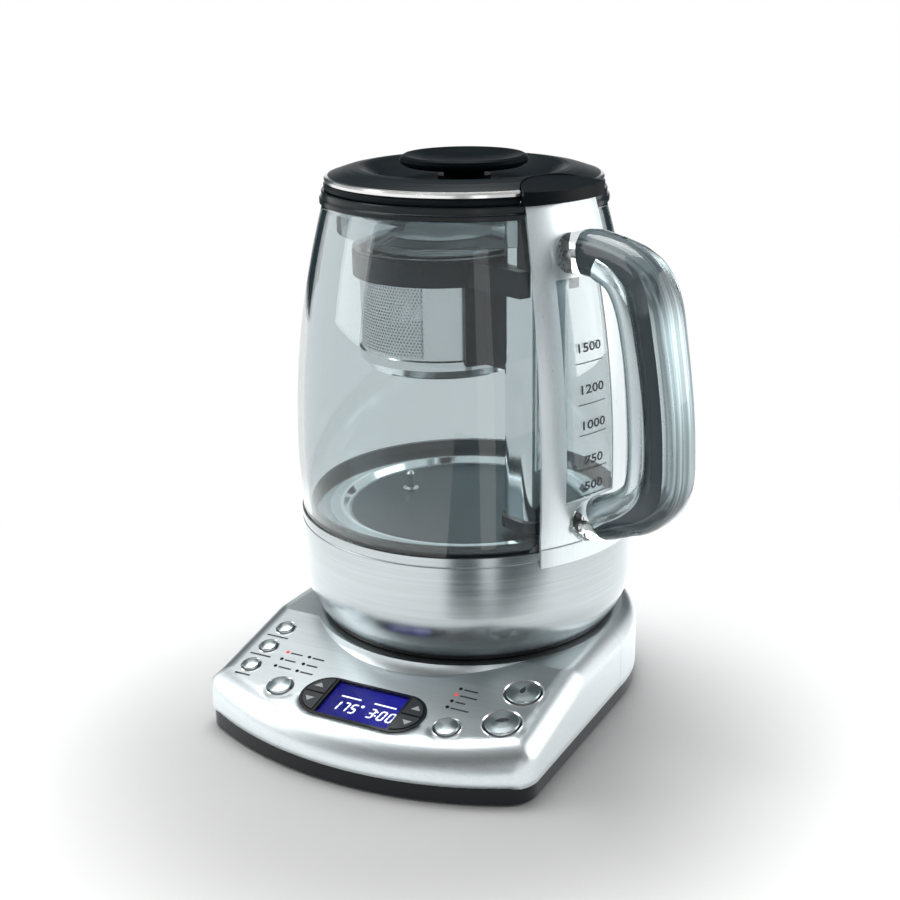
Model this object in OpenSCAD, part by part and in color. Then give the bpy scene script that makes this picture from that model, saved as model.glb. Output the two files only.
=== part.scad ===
// Automatic tea maker: a powered base with a sloping key panel, a lift-off
// glass jug that turns on it, and a basket that rides up and down a column.
// Millimetres. +X right, -Y front, +Z up, origin on the table under the jug.

/* [Base] */

// Half of the base's width, and the radius of its round back
base_r = 82; // [70:0.5:100]
// Distance from the jug's axis to the front edge
base_front = 126; // [110:1:150]
// Height of the level pad that the jug stands on
pad_z = 37.5; // [30:0.5:50]
// Height of the joint between the black tray and the steel cover
tray_z = 8.5; // [5:0.5:14]
// Slope of the key panel in degrees
panel_tilt = 11.7; // [0:0.1:20]
// Wall of the steel cover
cover_wall = 2; // [1:0.1:3]

/* [Jug] */

// Turn of the handle from +X towards the front, in degrees
jug_turn = -20.5; // [-180:0.5:180]
// Widest radius of the glass
glass_r = 79.4; // [60:0.1:100]
// Height at which the glass is widest
glass_belly_z = 120; // [90:1:160]
// Radius of the long curve of the glass wall
glass_arc = 412; // [200:1:900]
// Thickness of the glass
glass_wall = 3; // [2:0.1:5]
// Height of the glass's upper edge
glass_top = 233.8; // [180:0.1:280]
// Height of the lip of the steel cup
cup_lip = 90.3; // [60:0.1:120]
// Half of the handle bracket's width, in degrees
strip_half = 19; // [10:0.5:30]

/* [Basket] */

// Distance of the basket's axis from the jug's axis, away from the handle
basket_off = 17; // [0:0.5:25]
// Outside radius of the perforated can
can_r = 38; // [25:0.5:45]
// Height of the basket's underside when it is raised
can_low = 154.5; // [120:0.5:170]
// Top of the ring that carries the basket
ring_top = 209; // [180:0.5:220]
// Distance from the jug's axis to the column's axis
column_off = 46; // [35:0.5:50]

/* [Keys] */

// Radius of the three small keys
small_key_r = 3.9; // [2:0.1:6]
// Radius of the two selector keys
mid_key_r = 5.3; // [3:0.1:8]
// Radius of the two large keys
big_key_r = 7.6; // [5:0.1:12]
// How far a key is pushed in
key_travel = 0.8; // [0.4:0.1:1.5]

/* [Hidden] */

e = 0.01;
gap = 0.35;
panel_y = -64;
panel_z = 34.9;
front_arc = 167;
corner_r = 14;
edge_r = 9;
side_r = 12;
nose_r = 14;
corner_y = -base_front + front_arc
    - sqrt(pow(front_arc - corner_r, 2) - pow(base_r - corner_r, 2));
arc_cx = glass_r - glass_arc;
left_x = -64;
column_w = 26;
column_d = 20;
column_wall = 1.2;
screw_r = 3;
screw_lead = 5.5;
small_keys = [[left_x, -1.2], [left_x, -15.9], [left_x, -30.6]];
mid_keys = [[-42.3, -39.5], [42.3, -39.5]];
big_keys = [[63.3, -7.8], [63.3, -29.2]];
disp_v = -38.4;
disp_hw = 30.6;
disp_hh = 12.3;
div_x = 19.6;
left_lamps = [for (x = [-52.6, -40.8], v = [-17, -22.3, -27.6]) [x, v]];
right_lamps = [for (v = [-14.3, -18.6, -23, -27.3]) [36.2, v]];
lit = [[-52.6, -17], [36.2, -18.6]];
spin_r = 17;
cap_arc = 27;
cap_x = 75;
loop_half = 9.6;
grip_half = 7.8;

// ---------------------------------------------------------------- frames

// The sloping panel: x across, y up the slope, z out of the panel
module on_panel() {
    translate([0, panel_y, panel_z]) rotate([panel_tilt, 0, 0]) children();
}

// The jug, with its handle on +X
module on_jug() {
    rotate([0, 0, jug_turn]) children();
}

// The basket's own axis, inside the jug's frame
module on_basket() {
    on_jug() translate([-basket_off, 0, 0]) children();
}

// A tube about Z, or a ring
module tube(ro, ri, z0, z1) {
    translate([0, 0, z0]) difference() {
        cylinder(r = ro, h = z1 - z0, $fn = 96);
        translate([0, 0, -1]) cylinder(r = ri, h = z1 - z0 + 2, $fn = 96);
    }
}

// ---------------------------------------------------------------- base

// The base's outline from above, d inside its edge
module base_plan(d = 0) {
    w = base_r - d;
    rc = corner_r - d;
    arc = front_arc - d;
    cy = -base_front + front_arc;
    circle(r = w, $fn = 128);
    translate([-w, corner_y]) square([2 * w, -corner_y]);
    for (s = [-1, 1]) translate([s * (w - rc), corner_y])
        circle(r = rc, $fn = 64);
    tx = (w - rc) / (arc - rc);
    ty = sqrt(1 - tx * tx);
    intersection() {
        translate([0, cy]) circle(r = arc, $fn = 256);
        translate([0, cy]) polygon([[0, -10], [-tx * 200, -ty * 200],
            [tx * 200, -ty * 200]]);
    }
}

// Long block of half-width w and top t, its two upper edges rounded
module loaf(w, t, r) {
    rotate([90, 0, 0]) translate([0, 0, -100]) linear_extrude(300) {
        translate([-w, -60]) square([2 * w, t - r + 60]);
        translate([r - w, -60]) square([2 * (w - r), t + 60]);
        for (s = [-1, 1]) translate([s * (w - r), t - r])
            circle(r = r, $fn = 64);
    }
}

// Profile of a half disc of radius r and top t with a rounded corner
module rim_profile(r, t, er) {
    square([r - er, t]);
    square([r, t - er]);
    translate([r - er, t - er]) intersection() {
        circle(r = er, $fn = 64);
        square(er);
    }
}

// Sloping front of the base, d inside its skin
module wedge(d) {
    r = edge_r - d;
    w = base_r - d;
    intersection() {
        translate([0, 0, tray_z]) linear_extrude(40) intersection() {
            base_plan(d + 0.1);
            translate([-100, -200]) square([200, 198]);
        }
        loaf(w - 0.15, pad_z - d - 0.05, r);
        on_panel() intersection() {
            loaf(w + 0.8, -d, side_r - d);
            translate([0, front_arc - base_front - panel_y - 3.4, -80])
                rotate_extrude($fn = 256)
                    rim_profile(front_arc - d, 80 - d, nose_r - d);
        }
    }
}

// Round back of the base, d inside its skin
module back_drum(d) {
    intersection() {
        translate([0, 0, tray_z]) rotate_extrude($fn = 128)
            rim_profile(base_r - d, pad_z - d - tray_z, edge_r - d);
        translate([-100, -4, 0]) cube([200, 200, 60]);
    }
}

// The hollow cove between the level pad and the slope
module cove() {
    rotate_extrude($fn = 128) difference() {
        translate([60, pad_z - 8]) square([23, 8]);
        translate([84, pad_z + 0.6]) circle(r = 9.2, $fn = 96);
    }
}

module stadium(hw, hh, z0, z1) {
    translate([0, disp_v, z0]) linear_extrude(z1 - z0) {
        square([2 * (hw - hh), 2 * hh], center = true);
        for (s = [-1, 1]) translate([s * (hw - hh), 0])
            circle(r = hh, $fn = 64);
    }
}

// Black lower tray with an upstand inside the cover and bosses for screws
module base_tray() {
    color([0.08, 0.08, 0.09]) difference() {
        union() {
            translate([0, 0, 1.2]) linear_extrude(tray_z - 1.2) base_plan(0.8);
            translate([0, 0, tray_z - e]) linear_extrude(3.5) intersection() {
                base_plan(cover_wall + 0.3);
                translate([-100, -102.5]) square([200, 250]);
            }
        }
        translate([0, 0, 3.4]) linear_extrude(20)
            base_plan(cover_wall + 2.2);
        for (p = screws_at()) translate([p[0], p[1], -1])
            cylinder(r = 1.7, h = 10, $fn = 32);
        // cord outlet slot at the back
        translate([-4, base_r - 8, 3.4]) cube([8, 12, 20]);
    }
    color([0.08, 0.08, 0.09]) for (p = screws_at())
        translate([p[0], p[1], 0]) tube(4.2, 1.7, 3.4 - e, 12);
}

function screws_at() = [[-62, -78], [62, -78], [-44, 34], [44, 34]];
function feet_at() = [[0, 0], [-62, -98], [62, -98], [-44, 54], [44, 54]];

module base_feet() {
    color([0.15, 0.15, 0.16]) for (p = feet_at())
        translate([p[0], p[1], 0])
            cylinder(r1 = 6.4, r2 = 7, h = 1.2, $fn = 48);
}

module base_screws() {
    color([0.7, 0.7, 0.72]) for (p = screws_at())
        translate([p[0], p[1], 0]) {
            difference() {
                translate([0, 0, 0.6]) cylinder(r = 2.9, h = 0.6, $fn = 32);
                translate([0, 0, 0.4]) cube([3.6, 0.7, 0.8], center = true);
            }
            translate([0, 0, 1.2 - e]) cylinder(r = 1.6, h = 9, $fn = 32);
        }
}

// Brushed steel cover: pressed wedge, level pad and all its cut-outs
module base_cover() {
    color([0.78, 0.79, 0.8]) difference() {
        union() {
            back_drum(0);
            wedge(0);
            translate([0, 0, pad_z - 12]) cylinder(r = 74.8, h = 12,
                $fn = 128);
            intersection() {
                cove();
                translate([-100, -100, 0]) cube([200, 75, 100]);
            }
        }
        back_drum(cover_wall);
        wedge(cover_wall);
        translate([0, 0, tray_z - 1]) linear_extrude(1.2)
            base_plan(cover_wall);
        cylinder(r = 23.6, h = 60, $fn = 96);
        on_panel() {
            for (p = small_keys) hole(p, small_key_r + 1.25);
            for (p = mid_keys) hole(p, mid_key_r + 1.3);
            for (p = big_keys) hole(p, big_key_r + 1.5);
            for (p = concat(left_lamps, right_lamps)) hole(p, 0.9);
            stadium(disp_hw, disp_hh, -12, 12);
        }
        translate([-4.2, base_r - 8, tray_z - 5]) cube([8.4, 12, 9.2]);
    }
}

module hole(p, r) {
    translate([p[0], p[1], -12]) cylinder(r = r, h = 24, $fn = 48);
}

// Black contact socket in the middle of the pad
module base_socket() {
    color([0.09, 0.09, 0.1]) difference() {
        union() {
            translate([0, 0, 30]) cylinder(r = 28, h = 5.4, $fn = 96);
            translate([0, 0, 35]) cylinder(r = 23.5, h = 2.5, $fn = 96);
            translate([0, 0, 37]) cylinder(r = spin_r, h = 6.4, $fn = 96);
            translate([0, 0, 43.4]) cylinder(r1 = 18.6, r2 = 17.6, h = 1.6,
                $fn = 96);
        }
        translate([0, 0, 33]) cylinder(r = 5, h = 20, $fn = 64);
        tube(13, 10, 35, 50);
    }
}

module cord_gland() {
    color([0.1, 0.1, 0.11]) translate([0, base_r - 0.6, tray_z - 0.5])
        rotate([90, 0, 0]) difference() {
            union() {
                cylinder(r = 3.9, h = 1.9, $fn = 48);
                translate([0, 0, 1.5]) cylinder(r = 3.2, h = 5, $fn = 48);
            }
            translate([0, 0, -1]) cylinder(r = 2.2, h = 10, $fn = 48);
        }
}

module power_board() {
    color([0.16, 0.4, 0.22]) translate([-38, -14, 12])
        cube([76, 70, 1.6]);
    color([0.16, 0.4, 0.22]) for (x = [-32, 32], y = [-8, 50])
        translate([x, y, 3.4]) cylinder(r = 3, h = 8.6, $fn = 32);
}

// Transformer, relay, capacitor and terminal block on the power board
module power_parts() {
    color([0.85, 0.7, 0.25]) {
        translate([-34, 16, 13.6]) cube([26, 22, 15]);
        translate([14, 2, 13.6]) cube([20, 16, 14]);
        translate([24, 36, 13.6]) cylinder(r = 6, h = 16, $fn = 48);
        translate([-8, 40, 13.6]) cube([20, 9, 11]);
    }
}

module control_board() {
    color([0.16, 0.4, 0.22]) on_panel() difference() {
        union() {
            translate([-71, -35, -10.8]) cube([22, 40, 1.6]);
            translate([-52, -46, -10.8]) cube([104, 36, 1.6]);
            translate([49, -41, -10.8]) cube([25, 46, 1.6]);
        }
        for (x = [-46, 46]) translate([x, -14, -12])
            cylinder(r = 1.6, h = 4, $fn = 32);
    }
}

// One push switch under each key
module key_switches() {
    color([0.25, 0.25, 0.27]) on_panel() {
        for (p = concat(small_keys, mid_keys, big_keys))
            translate([p[0], p[1], -9.2]) {
                translate([-3, -3, 0]) cube([6, 6, 1.9]);
                translate([0, 0, 1.9 - e]) cylinder(r = 1.6, h = 0.6, $fn = 32);
            }
        for (s = [-1, 1], v = [-1, 1])
            translate([s * 23.4, disp_v + v * 4.6, -9.2]) {
                translate([-2.2, -2.2, 0]) cube([4.4, 4.4, 1.9]);
                translate([0, 0, 1.9 - e]) cylinder(r = 1.2, h = 0.6, $fn = 32);
            }
    }
}

// Gloss black frame round the display and its four keys
module display_bezel() {
    color([0.1, 0.11, 0.12]) on_panel() difference() {
        union() {
            stadium(disp_hw, disp_hh, -3, 0.5);
            stadium(disp_hw + 1, disp_hh + 0.5, -3.2, -2.2);
        }
        translate([-18.1, disp_v - 11.2, -6]) cube([36.2, 22.4, 12]);
        for (s = [-1, 1], v = [-1, 1]) key_shape(s, v, gap, -6, 6);
    }
}

// Outline of one quarter key beside the display
module key_shape(s, v, grow, z0, z1, mid = gap) {
    x0 = div_x - grow;
    y0 = 0.5 - mid;
    r = disp_hh - 1.6 + grow;
    translate([0, disp_v, z0]) scale([s, v, 1]) linear_extrude(z1 - z0)
        intersection() {
            translate([disp_hw - disp_hh, 0]) circle(r = r, $fn = 64);
            translate([x0, y0]) square([20, 20]);
        }
}

module quarter_key(s, v) {
    color([0.3, 0.32, 0.34]) on_panel() {
        key_shape(s, v, 0, -3.4, 0.9, 0);
        key_shape(s, v, 0.7, -4.4, -3.6, 0.1);
        key_shape(s, v, -0.6, -3.7, -3.3, -0.6);
        translate([s * 23.4, disp_v + v * 4.6, -5.6])
            cylinder(r = 1.4, h = 1.4, $fn = 32);
    }
}
module temp_up_key() { quarter_key(-1, 1); }
module temp_down_key() { quarter_key(-1, -1); }
module time_up_key() { quarter_key(1, 1); }
module time_down_key() { quarter_key(1, -1); }

module display_window() {
    color([0.6, 0.7, 0.9, 0.35]) on_panel()
        translate([-18.1, disp_v - 11.2, -1.2]) cube([36.2, 22.4, 1.5]);
}

module display_panel() {
    color([0.12, 0.12, 0.6]) on_panel()
        translate([-18.1, disp_v - 11.2, -9.2]) cube([36.2, 22.4, 7.6]);
}

// Bright bevelled rings let into the panel round the seven round keys
module key_rings() {
    color([0.75, 0.76, 0.78]) on_panel() {
        for (p = small_keys) key_ring(p, small_key_r, 1.25);
        for (p = mid_keys) key_ring(p, mid_key_r, 1.3);
        for (p = big_keys) key_ring(p, big_key_r, 1.5);
    }
}

module key_ring(p, r, w) {
    translate([p[0], p[1], 0]) rotate_extrude($fn = 72)
        polygon([[r + gap + 0.05, -2.2], [r + w, -2.2], [r + w, 0.1],
            [r + w - 0.3, 0.4], [r + gap + 0.05, -0.3]]);
}

// A round key: spun face, skirt, flange that keeps it in, and stem
module round_key(p, r) {
    color([0.72, 0.73, 0.75]) on_panel() translate([p[0], p[1], 0]) {
        rotate_extrude($fn = 72) polygon([[0, -4.2], [r + 0.6, -4.2],
            [r + 0.6, -3.2], [r, -3.2], [r, 0.5], [r - 0.35, 1],
            [r * 0.6, 1.35], [r * 0.3, 1.5], [0, 1.55]]);
        translate([0, 0, -5.6]) cylinder(r = 1.8, h = 1.5, $fn = 32);
    }
}
module auto_key() { round_key(small_keys[0], small_key_r); }
module warm_key() { round_key(small_keys[1], small_key_r); }
module basket_key() { round_key(small_keys[2], small_key_r); }
module tea_type_key() { round_key(mid_keys[0], mid_key_r); }
module strength_key() { round_key(mid_keys[1], mid_key_r); }
module hot_water_key() { round_key(big_keys[0], big_key_r); }
module tea_key() { round_key(big_keys[1], big_key_r); }

module lamp(p) {
    translate([p[0], p[1], -9.2]) cylinder(r = 0.85, h = 9.35, $fn = 32);
}

module status_lamps() {
    color([0.12, 0.1, 0.1]) on_panel()
        for (p = concat(left_lamps, right_lamps))
            if (len([for (q = lit) if (q == p) 1]) == 0) lamp(p);
}

module lit_lamps() {
    color([0.9, 0.15, 0.1]) on_panel() for (p = lit) lamp(p);
}

// Loose ring that turns on the socket and centres the jug
module socket_collar() {
    color([0.3, 0.3, 0.32]) difference() {
        tube(21.2, spin_r + 0.05, 37.9, 43);
        for (a = [0:60:300]) rotate([0, 0, a]) translate([21.2, 0, 30])
            cylinder(r = 1.6, h = 20, $fn = 32);
    }
}

// ---------------------------------------------------------------- jug

// The glass wall's curve, g outside the glass's outer face
module belly(g) {
    intersection() {
        translate([arc_cx, glass_belly_z]) circle(r = glass_arc + g, $fn = 720);
        square([120, 260]);
    }
}

module jug_foot() {
    color([0.07, 0.07, 0.08]) on_jug() rotate_extrude($fn = 128)
        polygon([[22.6, 40.2], [62, 40.2], [62, 37.8], [69.6, 37.8],
            [70.1, 38.3], [70.1, 40.4], [69.2, 40.4], [69.2, 42.6],
            [25, 42.6], [25, 50.4], [22.6, 50.4]]);
}

// Upper half of the contact plug, in the well of the foot
module jug_connector() {
    color([0.2, 0.2, 0.22]) on_jug() {
        translate([0, 0, 47.4]) cylinder(r = 22.5, h = 3, $fn = 96);
        tube(12.3, 10.7, 39.4, 48);
        translate([0, 0, 38.8]) cylinder(r = 4, h = 9, $fn = 48);
    }
}

// Drawn steel cup with a rolled lip
module jug_cup() {
    color([0.8, 0.81, 0.82]) on_jug() rotate_extrude($fn = 128)
        difference() {
            union() {
                translate([0, 62]) square([79, cup_lip - 62]);
                intersection() {
                    translate([45, 62]) circle(r = 34, $fn = 128);
                    translate([45, 40.4]) square([60, 22]);
                }
                translate([0, 40.4]) square([45.1, 22]);
            }
            translate([0, 62]) square([77.8, 40]);
            intersection() {
                translate([45, 62]) circle(r = 32.8, $fn = 128);
                translate([45, 30]) square([60, 32.1]);
            }
            translate([0, 30]) square([45.1, 32.1]);
            translate([79.1, cup_lip - 4.2]) circle(r = 0.45, $fn = 32);
        }
}

// Pressed ring under the floor, with the two tails of its element
module heating_element() {
    color([0.7, 0.7, 0.7]) on_jug() {
        difference() {
            tube(50, 33, 82, 85.4);
            translate([column_off, 0, 80]) cylinder(r = 4.2, h = 10, $fn = 48);
        }
        rotate([0, 0, 32]) rotate_extrude(angle = 296, $fn = 96)
            translate([41, 80]) circle(r = 3.6, $fn = 32);
        for (a = [32, 328]) rotate([0, 0, a]) translate([41, 0, 68])
            cylinder(r = 2.6, h = 12, $fn = 32);
    }
}

// Steel floor with a dished middle
module floor_plate() {
    color([0.82, 0.83, 0.84]) on_jug() difference() {
        rotate_extrude($fn = 128) polygon([[0, 85.5], [58.8, 85.5],
            [60.4, 88.4], [73.1, 88.4], [73.1, 89.9], [59.4, 89.9],
            [57.8, 87], [0, 87]]);
        translate([column_off, 0, 80]) cylinder(r = 4, h = 20, $fn = 48);
    }
}

module temperature_probe() {
    color([0.85, 0.85, 0.86]) on_jug() rotate([0, 0, 193])
        translate([34.3, 0, 87]) rotate_extrude($fn = 48) polygon([[0, 0],
            [4, 0], [4, 0.9], [2.2, 1.5], [2.2, 8.2], [1.4, 9.2], [0, 9.4]]);
}

// Black silicone seal that holds the glass in the cup
module glass_seal() {
    color([0.06, 0.06, 0.07]) on_jug() rotate_extrude($fn = 128)
        polygon([[73.15, 84], [77.7, 84], [77.7, 86.45], [74.9, 86.45],
            [74.9, 94], [74.3, 94.8], [73.15, 94.4]]);
}

module jug_glass() {
    color([0.85, 0.92, 0.93, 0.3]) on_jug() difference() {
        rotate_extrude($fn = 128) difference() {
            intersection() {
                belly(0);
                union() {
                    translate([0, 86.5]) square([77.7, 5]);
                    translate([0, cup_lip + 0.1])
                        square([100, glass_top - cup_lip - 0.1]);
                }
            }
            belly(-glass_wall);
        }
        translate([-53, 0, 226]) cylinder(r = 16, h = 20, $fn = 64);
    }
}

// Sector of angle 2h about the handle
module sector(h, r, z0, z1) {
    translate([0, 0, z0]) linear_extrude(z1 - z0)
        polygon([[0, 0], [r, -r * tan(h)], [r, r * tan(h)]]);
}

// Black ring clamped on the glass's upper edge
module jug_collar() {
    color([0.08, 0.08, 0.09]) on_jug() difference() {
        rotate_extrude($fn = 128) polygon([[60.6, glass_top], [60.6, 238.3],
            [63.6, 238.3], [64, 237.8], [64, 235.6], [64.6, 235.2], [65, 234.6],
            [65, 232.8], [64.1, 232.4], [63.9, 232.4], [63.8, glass_top]]);
        difference() {
            sector(strip_half + 0.6, 120, 230, 240);
            cylinder(r = 62.4, h = 300, $fn = 128);
        }
        translate([-53, 0, 226]) cylinder(r = 17.5, h = 20, $fn = 64);
    }
}

module pour_spout() {
    color([0.08, 0.08, 0.09]) on_jug() difference() {
        translate([-53, 0, 224]) cylinder(r = 20, h = 14.3, $fn = 96);
        translate([-53, 0, 220]) cylinder(r = 17.5, h = 30, $fn = 96);
        rotate_extrude($fn = 128) union() {
            belly(0.05);
            translate([0, 232.3]) square([65.05, 20]);
        }
        translate([-73.5, -30, 222]) rotate([0, 42, 0])
            translate([-30, 0, -20]) cube([30, 60, 32]);
    }
}

// Brushed bracket down the outside of the glass, with its level window
module handle_bracket() {
    color([0.82, 0.83, 0.84]) on_jug() difference() {
        rotate([0, 0, -strip_half]) rotate_extrude(angle = 2 * strip_half,
            $fn = 180) {
            intersection() {
                difference() {
                    belly(1.7);
                    belly(0.15);
                }
                translate([0, cup_lip + 0.4]) square([100, 238.4 - cup_lip - 0.4]);
            }
            translate([79.15, 83.5]) square([1.6, 8.2]);
        }
        sector(10.5, 120, 111, 207.5);
        screw_pair(1.75, 8, 30);
    }
}

module level_window() {
    color([0.9, 0.95, 0.96, 0.35]) on_jug() rotate([0, 0, -10.3])
        rotate_extrude(angle = 20.6, $fn = 180) intersection() {
            difference() {
                belly(1.2);
                belly(0.15);
            }
            translate([0, 111.3]) square([100, 96]);
        }
}

// Path points of the clear loop and of the grip insert: [radius, height]
function loop_pts() = [[70, 217.6], [79, 218.6], [91, 217.4], [102, 214.6], [109.5, 209.6],
    [114.6, 200.5], [117.6, 188], [120.6, 173], [123, 157], [124.1, 142],
    [123.9, 130], [120.4, 121.5], [112, 114.2], [102, 109.6], [91, 104.8],
    [80, 101]];
function loop_rad() = [9, 10, 10.2, 10.8, 11.2, 11.3, 11.3, 11.3, 11.2, 11, 11,
    11, 11, 10.4, 10, 9.6];
function grip_pts() = [[85.5, 213.4], [93.6, 210], [99.6, 202.4], [103.8, 190.6],
    [107.5, 172.3], [109.6, 152], [110.2, 134], [108, 121.4], [100.4, 113.6],
    [92, 108.6], [86, 104.8]];

module bead(p, r, w) {
    translate([p[0], 0, p[1]]) rotate([90, 0, 0]) hull() {
        translate([0, 0, -w]) cylinder(r = r * 0.55, h = 2 * w, $fn = 28);
        translate([0, 0, -w * 0.55]) cylinder(r = r, h = 1.1 * w, $fn = 28);
    }
}

module grip_body(g) {
    pts = grip_pts();
    for (i = [0:len(pts) - 2]) hull() {
        bead(pts[i], 6.6 + g, grip_half + g);
        bead(pts[i + 1], 6.6 + g, grip_half + g);
    }
}

// The two screws' shanks or their holes, g longer at the inner end
module screw_pair(r, g, h) {
    for (p = [[68.6, 217.6], [79.3, 99.3]])
        translate([p[0] - g, 0, p[1]]) rotate([0, 90, 0])
            cylinder(r = r, h = h + g, $fn = 32);
}

// Oval plate at an end of the loop, turned to the wall's slope
module end_plate(p, a, high) {
    translate([p[0], 0, p[1]]) rotate([0, a, 0]) translate([0, 0, -4])
        scale([high / 12.5, 1, 1]) cylinder(r = 12.5, h = 6.2, $fn = 48);
}

// Thick clear loop, standing off the bracket on two oval plates
module handle_loop() {
    pts = loop_pts();
    rad = loop_rad();
    color([0.88, 0.93, 0.94, 0.35]) on_jug() difference() {
        union() {
            for (i = [0:len(pts) - 2]) hull() {
                bead(pts[i], rad[i], loop_half);
                bead(pts[i + 1], rad[i + 1], loop_half);
            }
            end_plate([69.7, 217.5], 76.8, 9.8);
            end_plate([80.8, 99.3], 92.9, 11);
        }
        grip_body(0.12);
        rotate_extrude($fn = 180) belly(1.75);
        rotate_extrude($fn = 180) translate([0, 80]) square([80.85, 11.8]);
        screw_pair(1.7, 2, 11.3);
    }
}

// Satin metal grip on the inner side of the loop
module handle_insert() {
    color([0.55, 0.57, 0.59]) on_jug() difference() {
        grip_body(0);
        rotate_extrude($fn = 180) belly(1.75);
        screw_pair(1.7, 2, 11.3);
    }
}

// Screws from inside the bracket into the two bosses
module handle_screws() {
    color([0.75, 0.75, 0.77]) on_jug() screw_pair(1.6, 0, 11);
}

module column_plan(d) {
    x = column_d / 2 - d;
    y = column_w / 2 - d;
    r = 6 - d;
    for (s = [-1, 1], t = [-1, 1]) translate([s * (x - r), t * (y - r)])
        circle(r = r, $fn = 48);
    square([2 * x, 2 * (y - r)], center = true);
    square([2 * (x - r), 2 * y], center = true);
}

module column_at(z0, z1, d) {
    translate([column_off, 0, z0]) linear_extrude(z1 - z0) column_plan(d);
}

module column_foot() {
    color([0.1, 0.1, 0.11]) on_jug() difference() {
        column_at(89.9, 95, -1.6);
        column_at(80, 100, -0.05);
    }
}

// Polished steel sleeve that the basket rides on
module lift_column() {
    color([0.86, 0.87, 0.88]) on_jug() difference() {
        column_at(90, 229, 0);
        column_at(80, 240, column_wall);
    }
}

module column_head() {
    color([0.09, 0.09, 0.1]) on_jug() {
        intersection() {
            translate([0, 0, 208]) cylinder(r = 60.1, h = 26, $fn = 128);
            difference() {
                union() {
                    translate([49, -15, 209.8]) cube([20, 30, 24.2]);
                    translate([34.5, -15, 229]) cube([30, 30, 5]);
                }
                column_at(200, 229, -0.05);
                translate([column_off, 0, 200]) cylinder(r = 1.56, h = 33,
                    $fn = 32);
            }
        }
    }
}

// Leaf-shaped black cap over the column's head and the bracket's end
module column_cap() {
    color([0.07, 0.07, 0.08]) on_jug() difference() {
        intersection() {
            translate([0, 0, 238.4]) cylinder(r1 = 67.4, r2 = 66.4, h = 8.8,
                $fn = 128);
            translate([cap_x, 0, 238.4]) cylinder(r = cap_arc, h = 8.8,
                $fn = 96);
        }
        translate([0, 0, 256.4]) rotate([0, 11, 0]) translate([0, 0, 5])
            cube([160, 80, 10], center = true);
    }
}

module lift_motor() {
    color([0.6, 0.6, 0.62]) on_jug() translate([column_off, 0, 0])
        difference() {
            union() {
                translate([0, 0, 56]) cylinder(r = 11, h = 24, $fn = 64);
                translate([0, 0, 80]) cylinder(r = 3.6, h = 9, $fn = 48);
            }
            translate([0, 0, 78]) cylinder(r = 1.55, h = 20, $fn = 32);
        }
}

// Lead screw inside the column
module lift_screw() {
    color([0.7, 0.68, 0.62]) on_jug() translate([column_off, 0, 0]) {
        translate([0, 0, 79]) cylinder(r = 1.5, h = 12, $fn = 48);
        translate([0, 0, 90]) cylinder(r = screw_r - 0.5, h = 136, $fn = 48);
        for (z = [91:screw_lead / 2:224]) translate([0, 0, z])
            cylinder(r = screw_r, h = 1.3, $fn = 48);
        translate([0, 0, 226 - e]) cylinder(r = 1.5, h = 5, $fn = 48);
    }
}

// ---------------------------------------------------------------- basket

// Black ring, spine and fork that carry the basket on the column
module carriage() {
    color([0.1, 0.1, 0.11]) {
        on_basket() difference() {
            union() {
                tube(41.2, can_r + 0.1, 197.5, ring_top);
                difference() {
                    tube(41.2, can_r + 0.1, 161.5, 198);
                    difference() {
                        cylinder(r = 60, h = 300, $fn = 96);
                        sector(26, 100, -1, 301);
                    }
                }
            }
            translate([0, 0, 150]) cylinder(r = can_r + 1.3, h = 14.2,
                $fn = 128);
        }
        on_jug() difference() {
            union() {
                translate([22, -9, 161.5]) cube([13.6, 18, ring_top - 161.5]);
                translate([20, -17.5, 197.5]) cube([34, 35, 11.5]);
            }
            column_at(150, 220, -gap);
            translate([-basket_off, 0, 100]) cylinder(r = can_r + 1.6,
                h = 150, $fn = 128);
            translate([29.4, 0, 170]) cylinder(r = 0.6, h = 100, $fn = 24);
            translate([29.3, -5.1, 178]) cube([4.2, 10.2, 14.2]);
        }
    }
}

module carriage_magnet() {
    color([0.5, 0.5, 0.53]) on_jug()
        translate([29.4, -5, 178.1]) cube([4, 10, 14]);
}

// Nut with its magnet, driven by the screw inside the column
module drive_nut() {
    color([0.72, 0.6, 0.3]) on_jug() difference() {
        column_at(178, 192, column_wall + gap);
        translate([column_off, 0, 150]) cylinder(r = screw_r + 0.08, h = 80,
            $fn = 48);
    }
}

// Steel can with a plain band towards the column
module basket_can() {
    color([0.8, 0.81, 0.82]) on_basket() difference() {
        translate([0, 0, 159.2]) cylinder(r = can_r, h = ring_top - 159.2,
            $fn = 128);
        translate([0, 0, 158]) cylinder(r = can_r - 0.7, h = 80, $fn = 128);
    }
}

// Two-step rim and the floor of the can
module basket_rim() {
    color([0.84, 0.85, 0.86]) on_basket() difference() {
        rotate_extrude($fn = 128) polygon([[0, can_low + 0.4],
            [30, can_low + 0.4], [30.5, can_low], [34.6, can_low],
            [35.4, can_low + 0.8], [37.2, can_low + 4.4],
            [can_r + 0.9, 159.2], [can_r + 1, 163.2], [can_r + 0.05, 163.8],
            [can_r + 0.05, 159.1], [0, 159.1]]);
        rotate_extrude($fn = 96) polygon([[0, can_low + 1.6],
            [33, can_low + 1.6], [34.5, 170], [0, 170]]);
    }
}

// Smoked clear lid of the basket
module basket_lid() {
    color([0.35, 0.38, 0.4, 0.4]) on_basket() rotate_extrude($fn = 128)
        polygon([[0, 214.4], [9, 214.4], [24, 215.6], [33, 213.6], [38.4, 210.8],
            [41, 210.4], [41, 209.35], [36.9, 209.35], [36.9, 206.4],
            [35.3, 206.4], [35.3, 209.8], [31.5, 212], [23.6, 213.9],
            [9, 212.8], [0, 212.8]]);
}

// ---------------------------------------------------------------- lid

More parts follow.
